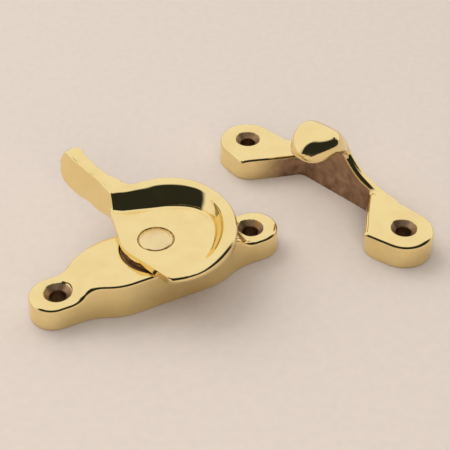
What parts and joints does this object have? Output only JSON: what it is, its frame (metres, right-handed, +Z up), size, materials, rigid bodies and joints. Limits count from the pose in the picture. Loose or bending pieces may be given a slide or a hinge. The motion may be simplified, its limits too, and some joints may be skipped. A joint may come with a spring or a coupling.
{
  "type": "window sash lock",
  "caption": "Cast brass sash window lock: a base with a swinging dished cam arm and thumb lever, and a separate hooked keeper it draws in.",
  "frame": {"origin": "on the pivot axis of the arm, in the plane of the base's underside, midway between the base's two screw holes", "axes": "+X along the base towards the keeper's side of the row, +Y across the base towards the lever's side, +Z up out of the sash"},
  "size_m": [0.101, 0.0672, 0.0248],
  "materials": {
    "polished_brass": "polished",
    "peened_brass": "peened, half matt",
    "spring_steel": "plain rolled strip"
  },
  "bodies": {
    "fastener_base": {"base_casting": "polished_brass", "leaf_spring": "spring_steel"},
    "cam": {"cam_arm": "polished_brass", "pivot_rivet": "peened_brass", "thrust_washer": "spring_steel", "detent_square": "spring_steel"},
    "keeper": {"keeper_casting": "polished_brass"}
  },
  "joints": [
    {"name": "cam_turn", "type": "hinge", "parent": "fastener_base", "child": "cam", "pos_m": [0, 0, 0.0094], "axis": [0, 0, 1], "range_deg": [-90, 90], "deforming": ["leaf_spring"]},
    {"name": "keeper_lift", "type": "slide", "parent": "fastener_base", "child": "keeper", "axis": [0, 0, 1], "range_m": [0, 0.04]}
  ]
}
